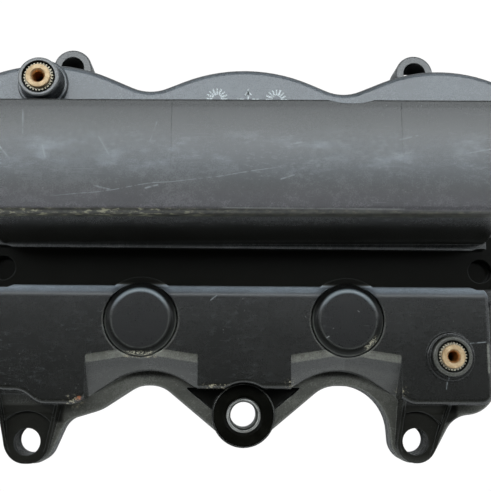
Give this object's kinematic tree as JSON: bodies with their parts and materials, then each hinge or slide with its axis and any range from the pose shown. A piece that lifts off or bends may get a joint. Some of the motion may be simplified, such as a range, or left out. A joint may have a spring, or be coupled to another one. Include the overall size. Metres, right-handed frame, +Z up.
{
  "type": "cylinder head cover",
  "caption": "Moulded plastic cylinder-head cover with a raised oil-separator barrel, wavy rear edge, bolt lugs, brass inserts, breather valve and drain valves.",
  "frame": {"origin": "on the sealing face (Z = 0), at the middle cylinder's plane (X = 0), near the middle of the cover's width", "axes": "+Z up out of the sealing face, +X along the crankshaft, +Y towards the wavy rear edge"},
  "size_m": [0.24, 0.18, 0.0585],
  "materials": {
    "moulded_plastic": "satin moulded glass-filled nylon, worn",
    "plug_plastic": "satin moulded plastic",
    "outlet_plastic": "satin moulded plastic",
    "inner_plastic": "oil-stained moulded plastic",
    "valve_plastic": "natural acetal",
    "valve_ball": "smooth",
    "seal_rubber": "matt",
    "washer_rubber": "smooth, deep black",
    "insert_brass": "machined, lightly tarnished",
    "plated_steel": "zinc plated",
    "spring_steel": "drawn wire",
    "fleece": "felted polyester fleece"
  },
  "bodies": {
    "cover": {"cover_shell": "moulded_plastic", "cover_gasket": "seal_rubber", "sleeve_centre": "plated_steel", "sealing_washer": "washer_rubber", "insert_rear_left": "insert_brass", "insert_front_right": "insert_brass", "plug_west": "plug_plastic", "plug_east": "plug_plastic", "plug_seal_west": "seal_rubber", "plug_seal_east": "seal_rubber", "separator_base": "inner_plastic", "separator_screws": "plated_steel", "nozzle_plate": "inner_plastic", "fleece_pad": "fleece", "drain_cage_west": "valve_plastic", "drain_cage_east": "valve_plastic", "breather_outlet": "outlet_plastic", "outlet_seal": "seal_rubber", "outlet_screws": "plated_steel", "valve_retainer": "valve_plastic", "valve_spring": "spring_steel"},
    "plunger": {"valve_plunger": "valve_plastic"},
    "ball_west": {"drain_ball_west": "valve_ball"},
    "ball_east": {"drain_ball_east": "valve_ball"}
  },
  "joints": [
    {"name": "plunger_slide", "type": "slide", "parent": "cover", "child": "plunger", "axis": [-1, 0, 0], "range_m": [0, 0.003], "stiffness_N_per_m": 60, "springref_m": -0.002, "deforming": ["valve_spring"]},
    {"name": "ball_west_slide", "type": "slide", "parent": "cover", "child": "ball_west", "axis": [0, 0, 1], "range_m": [0, 0.0024]},
    {"name": "ball_east_slide", "type": "slide", "parent": "cover", "child": "ball_east", "axis": [0, 0, 1], "range_m": [0, 0.0024]}
  ]
}
